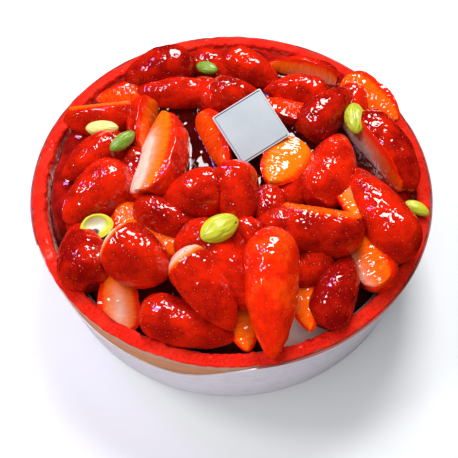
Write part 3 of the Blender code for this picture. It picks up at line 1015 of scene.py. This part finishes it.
def build_band():
    """Paper band: two close walls whose upper edge dips by a smooth S on each
    side of one angle, with a little waviness."""
    ring, band = bpy.context.scene.cake_ring, bpy.context.scene.cake_band
    turns = once_round(BAND_TURNS)
    off = np.radians(degrees_from(turns, math.degrees(band.dip_angle)))
    step = upright(90.0, turns, 0.0)
    top = (band.top - band.dip * smooth_step(band.dip_half - off, 0.0, band.dip_fade)) / MM
    top += 0.18 * lattice_noise(step, 5.0, 83)
    foot = band.foot / MM
    outer = (ring.radius + bpy.context.scene.cake_cream.gap + band.thickness) / MM
    inner = outer - 1.5 * band.thickness / MM
    up = foot + np.linspace(0.0, 1.0, 26)[:, None] * (top - foot)
    radius = np.concatenate((np.full(up.shape, outer), np.full(up.shape, inner)))
    height = np.concatenate((up, up[::-1]))
    lean = np.clip((height - foot) / 40.0, 0.0, 1.0) * (radius > inner + 0.1)
    radius = radius + 0.06 * lattice_noise(step, 17.0, 89) * lean
    piece = add_mesh("paper_band", *ring_grid(upright(radius, turns, height)),
                     below=(top - height).ravel())
    piece.data.set_sharp_from_angle(angle=math.radians(50.0))
    return finish_piece(piece, ["side_band"], band_material())


def band_material():
    """Lilac grey paper with faint level streaks, a painted highlight along its upper
    edge where it dips, and a brown line of painted shade where it reaches under the rim."""
    r = Recipe("paper_band", Roughness=0.5, Coat_Weight=0.15, Coat_Roughness=0.3)
    where = r.place()
    streak = r.noise(r.stretch(where, (0.25, 0.25, 6.0)), 160.0, 4.0)
    mottle = r.noise(where, 240.0, 4.0)
    tint = r.mix(r.range(streak, 0.3, 0.7), bpy.context.scene.cake_band.paper,
                 (0.76, 0.71, 0.78))
    tint = r.mix(r.range(mottle, 0.45, 0.8, 0.0, 0.35), tint, (0.56, 0.49, 0.60))
    # Painted highlight: the paper turns pale just under its upper edge, as if the edge caught the
    # light
    edge = r.range(r.attribute("below"), 0.5, 1.4, 0.30, 0.0)
    tint = r.mix(edge, tint, (0.88, 0.84, 0.82))
    # Painted shade: a thin dark brown line at the top of the band, where it meets the shade under the
    # rim
    shade_under_rim = r.range(r.height(where), 0.0466, 0.0470)
    return r.done(Base_Color=r.mix(shade_under_rim, tint, (0.34, 0.05, 0.035)),
                  Normal=r.bump(streak, 0.12, 0.0005))


def square_outline(turns, half_size):
    """Distance from the middle to the side of a square with tight corners:
    the power mean of the two directions at a high power."""
    power = 40.0
    c, s = np.abs(np.cos(turns)), np.abs(np.sin(turns))
    return half_size / (c ** power + s ** power) ** (1.0 / power)


def build_plaque():
    """Plaque: a rounded square drawn in from its rim to its middle over and
    under, with a shallow groove just inside the rim of its face."""
    plaque = bpy.context.scene.cake_plaque
    centre, axes = plaque_axes()
    half_size, half_thick = plaque.size / 2 / MM, plaque.thickness / 2 / MM
    face = np.array((0.0, 0.3, 0.6, 0.80, 0.90, 0.915, 0.925, 0.94, 0.955, 0.965, 0.980))
    groove = np.where((face > 0.92) & (face < 0.96), -0.10, 0.0)
    corner = np.linspace(0.0, 0.5 * np.pi, 6)
    edge = 1.0 - 0.02 * (1.0 - np.sin(corner))
    rim = half_thick - 0.25 * (1.0 - np.cos(corner))
    part = np.concatenate((face, edge, edge[::-1], (0.9, 0.5, 0.0)))[:, None]
    level = np.concatenate((half_thick + groove, rim, -rim[::-1], (-half_thick,) * 3))[:, None]
    steps = 60
    side = np.linspace(-1.0, 1.0, steps + 1)[:-1]
    turns = np.concatenate([np.arctan(side) + 0.5 * np.pi * quarter for quarter in range(4)])
    line_depth = np.choose(np.arange(4 * steps) // steps, LINE_DARKNESS)
    grid = upright(part * square_outline(turns, half_size), turns, level)
    piece = add_closed("plaque_plate", grid, lambda points: points @ axes + centre,
                       line=((part > 0.915) & (part < 0.962) & (level > 0)) * line_depth,
                       silver=(part > 0.95) * np.ones_like(turns))
    piece.data.set_sharp_from_angle(angle=math.radians(35.0))
    return finish_piece(piece, ["plaque"], plaque_material())


def plaque_material():
    """Pale grey blue, faintly clouded, with a silver rim and a groove that is
    dark on three sides."""
    plaque = bpy.context.scene.cake_plaque
    r = Recipe("plaque", Roughness=0.4, Coat_Weight=0.3, Coat_Roughness=0.1)
    where = r.place()
    cloud = r.range(r.noise(where, 90.0), 0.3, 0.7)
    face = r.mix(cloud, plaque.face, (0.46, 0.51, 0.53))
    face = r.mix(r.attribute("silver"), face, (0.52, 0.54, 0.56))
    return r.done(Base_Color=r.mix(r.attribute("line"), face, plaque.frame),
                  Normal=r.bump(r.noise(where, 500.0, 2.0), 0.05, 0.0004))


def build_nut(nut, material):
    """Pistachio kernel: a sphere drawn out and flattened, pinched along one
    side, wrinkled lengthwise, and cut and hollowed where it is half."""
    rows, turns = np.meshgrid(np.linspace(0.0, np.pi, NUT_ROWS), once_round(NUT_TURNS),
                              indexing="ij")
    x = -0.5 * nut.length * np.cos(rows)
    r = 0.5 * nut.width * np.sin(rows) ** NUT_BLUNTNESS
    wrinkle = layered_noise(turned(x * 0.18, 2.2, turns) + 9.0 * nut.number, 0.55, 3, 97)
    seam = np.exp(-((np.abs(turns - 0.5 * np.pi)) / 0.16) ** 2)
    local = turned(x, r * (1.0 + 0.05 * wrinkle - 0.07 * seam), turns) * (1, 1, NUT_HEIGHT_SHARE)
    cut, hollow = np.zeros(x.shape), np.zeros(x.shape)
    if nut.half:
        normal = cut_normal(nut.face)
        beyond = local @ normal
        cut = smooth_step(beyond, 0.0, 0.5)
        hollow = cut * np.clip(1.0 - ((x + 0.4) / 5.0) ** 2
                               - ((local[..., 1] + 0.4) / 3.8) ** 2, 0.0, 1.0)
        level = -0.2 * np.logaddexp(0.0, -beyond / 0.2) - 2.2 * hollow
        local = local + ((level - beyond) * (beyond > -3.0))[..., None] * normal
    node = f"pistachio_{nut.number}"
    piece = add_closed(f"pistachio_kernel_{nut.number}", local,
                       fitted(nut, node, local * (0.8, 0.0, 0.0), BERRIES),
                       hollow=hollow, wrinkle=wrinkle, green=nut.green,
                       stain=cut * np.exp(-((x + 1.6) ** 2 + (local[..., 1] + 1.9) ** 2) / 4.5),
                       grain=turned(x, 6.0, turns))
    return finish_piece(piece, [node], material)


def nut_material():
    """Yellow green kernel with greener furrows and scraps of dark skin."""
    look = bpy.context.scene.cake_nuts
    r = Recipe("pistachio", Roughness=0.42, Coat_Weight=0.35, Coat_Roughness=0.2)
    grain, green = r.attribute("grain", "Vector"), r.attribute("green")
    streak = r.noise(r.stretch(grain, (0.25, 1.0, 1.0)), 0.9, 4.0)
    tone = r.plus(green, r.range(streak, 0.3, 0.7, -0.15, 0.2), clamp=True)
    kernel = r.mix(tone, look.yellow, look.green)
    scrap = r.plus(r.noise(r.stretch(grain, (0.6, 1.0, 1.0)), 0.45),
                   r.times(r.attribute("wrinkle"), -0.12))
    kernel = r.mix(r.range(scrap, 0.67, 0.74), kernel, look.skin)
    kernel = r.mix(r.range(green, -0.1, -1.0), kernel, (0.72, 0.72, 0.30))
    kernel = r.mix(r.range(r.attribute("hollow"), 0.0, 0.8), kernel, (0.74, 0.70, 0.48))
    kernel = r.mix(r.range(r.attribute("stain"), 0.2, 0.6), kernel, (0.05, 0.012, 0.03))
    return r.done(Base_Color=kernel, Normal=r.bump(streak, 0.25, 0.0006))


# Stage

def area_light(name, place, size, power, tint=(1.0, 1.0, 1.0), mirrored=True):
    """A square soft light, in metres, that looks at the middle of the cake."""
    data = bpy.data.lights.new(name, "AREA")
    data.shape, data.size, data.energy, data.color = "SQUARE", size, power, tint
    light = bpy.data.objects.new(name, data)
    bpy.context.scene.collection.objects.link(light)
    light.visible_glossy = mirrored
    look = Vector(place) - Vector((0.0, 0.0, 0.05))
    light.matrix_world = Matrix.Translation(place) @ look.to_track_quat("Z", "Y").to_matrix().to_4x4()


def build_floor(reach=3.0):
    """A plain level square, which the glaze doesn't mirror."""
    mesh = bpy.data.meshes.new("floor")
    corners = ((-1, -1), (1, -1), (1, 1), (-1, 1))
    mesh.from_pydata([(x * reach, y * reach, 0.0) for x, y in corners], [], [(0, 1, 2, 3)])
    floor = bpy.data.objects.new("floor", mesh)
    floor.visible_glossy = False
    bpy.context.scene.collection.objects.link(floor)
    recipe = Recipe("floor", Roughness=0.6)
    mesh.materials.append(recipe.done(Base_Color=bpy.context.scene.cake_stage.floor))


def build_lights():
    """Two keys and a violet light that the glaze mirrors, and three that it
    doesn't: a fill from above, a light on the wall and the even sky."""
    scene = bpy.context.scene
    stage = scene.cake_stage
    world = scene.world or bpy.data.worlds.new("World")
    scene.world = world
    world.use_nodes = True
    sky = world.node_tree.nodes["Background"]
    sky.inputs["Color"].default_value = (1.0, 1.0, 1.0, 1.0)
    sky.inputs["Strength"].default_value = stage.sky
    world.cycles_visibility.glossy = False
    area_light("key", (0.06, 0.34, 0.50), 0.20, stage.key)
    area_light("side_key", (-0.33, 0.09, 0.50), 0.12, 0.36 * stage.key)
    area_light("fill", (-0.10, -0.10, 0.90), 0.80, stage.fill, mirrored=False)
    area_light("front", (-0.36, -0.50, 0.16), 0.30, stage.front, mirrored=False)
    area_light("violet", (-0.28, 0.20, 0.42), 0.07, stage.violet, (0.55, 0.25, 1.0))
    scene.view_settings.view_transform = "Standard"


def build_camera():
    """The camera looks down at the cake from the front, as in a hand-held
    photograph: moved, turned by its yaw, tipped by its pitch and rolled."""
    spot = (0.0, -0.1362, 0.2342)
    pitch, yaw, roll = (math.radians(value) for value in (60.52, -0.51, -0.80))
    data = bpy.data.cameras.new("camera")
    data.lens = bpy.context.scene.cake_stage.focal
    data.sensor_width, data.sensor_fit = 36.0, "HORIZONTAL"
    data.clip_start, data.clip_end = 0.01, 10.0
    camera = bpy.data.objects.new("camera", data)
    bpy.context.scene.collection.objects.link(camera)
    camera.matrix_world = (
        Matrix.Translation(spot) @ Matrix.Rotation(-yaw, 4, "Z")
        @ Matrix.Rotation(0.5 * math.pi - pitch, 4, "X") @ Matrix.Rotation(roll, 4, "Z"))
    bpy.context.scene.camera = camera


# Operators

class CakeOperator:
    """Shared part of the operators: what they build goes into the scene."""
    bl_options = {"REGISTER", "UNDO"}


class CAKE_OT_ring(CakeOperator, Operator):
    """Build the biscuit ring with its red rim"""
    bl_idname = "cake.ring"
    bl_label = "Biscuit Ring"

    def execute(self, context):
        build_ring()
        return {"FINISHED"}


class CAKE_OT_cream(CakeOperator, Operator):
    """Build the cream and the jelly on it"""
    bl_idname = "cake.cream"
    bl_label = "Cream and Jelly"

    def execute(self, context):
        build_cream()
        build_jelly()
        return {"FINISHED"}


class CAKE_OT_band(CakeOperator, Operator):
    """Build the paper band"""
    bl_idname = "cake.band"
    bl_label = "Paper Band"

    def execute(self, context):
        build_band()
        return {"FINISHED"}


class CAKE_OT_plaque(CakeOperator, Operator):
    """Build the plaque"""
    bl_idname = "cake.plaque"
    bl_label = "Plaque"

    def execute(self, context):
        build_plaque()
        return {"FINISHED"}


class CAKE_OT_strawberries(CakeOperator, Operator):
    """Build all strawberries and their seeds"""
    bl_idname = "cake.strawberries"
    bl_label = "Strawberries"

    def execute(self, context):
        material = strawberry_material()
        for rank, berry in enumerate(BERRIES):
            build_berry(berry, BERRIES[:rank], material)
        build_seeds(seed_material())
        return {"FINISHED"}


class CAKE_OT_pistachios(CakeOperator, Operator):
    """Build the pistachio kernels"""
    bl_idname = "cake.pistachios"
    bl_label = "Pistachios"

    def execute(self, context):
        material = nut_material()
        for nut in NUTS:
            build_nut(nut, material)
        return {"FINISHED"}


class CAKE_OT_stage(CakeOperator, Operator):
    """Build the floor, the lights and the camera"""
    bl_idname = "cake.stage"
    bl_label = "Stage"

    def execute(self, context):
        build_floor()
        build_lights()
        build_camera()
        return {"FINISHED"}


OPERATORS = (CAKE_OT_ring, CAKE_OT_cream, CAKE_OT_band, CAKE_OT_plaque,
             CAKE_OT_strawberries, CAKE_OT_pistachios, CAKE_OT_stage)


class CAKE_PT_panel(Panel):
    """Lists the cake's pieces and their settings"""
    bl_label = "Strawberry Cake"
    bl_idname = "CAKE_PT_panel"
    bl_space_type = "VIEW_3D"
    bl_region_type = "UI"
    bl_category = "Cake"

    def draw(self, context):
        for operator in OPERATORS:
            self.layout.operator(operator.bl_idname)
        for label in SETTINGS:
            group = getattr(context.scene, label)
            box = self.layout.box()
            for name in group.bl_rna.properties.keys():
                if name not in ("rna_type", "name"):
                    box.prop(group, name)


def register():
    for label, group in SETTINGS.items():
        bpy.utils.register_class(group)
        setattr(bpy.types.Scene, label, PointerProperty(type=group))
    for item in (*OPERATORS, CAKE_PT_panel):
        bpy.utils.register_class(item)


def unregister():
    for item in (CAKE_PT_panel, *reversed(OPERATORS)):
        bpy.utils.unregister_class(item)
    for label, group in reversed(SETTINGS.items()):
        delattr(bpy.types.Scene, label)
        bpy.utils.unregister_class(group)


def main():
    register()
    bpy.ops.cake.ring()
    bpy.ops.cake.cream()
    bpy.ops.cake.band()
    bpy.ops.cake.plaque()
    bpy.ops.cake.strawberries()
    bpy.ops.cake.pistachios()
    bpy.ops.cake.stage()


if __name__ == "__main__":
    main()
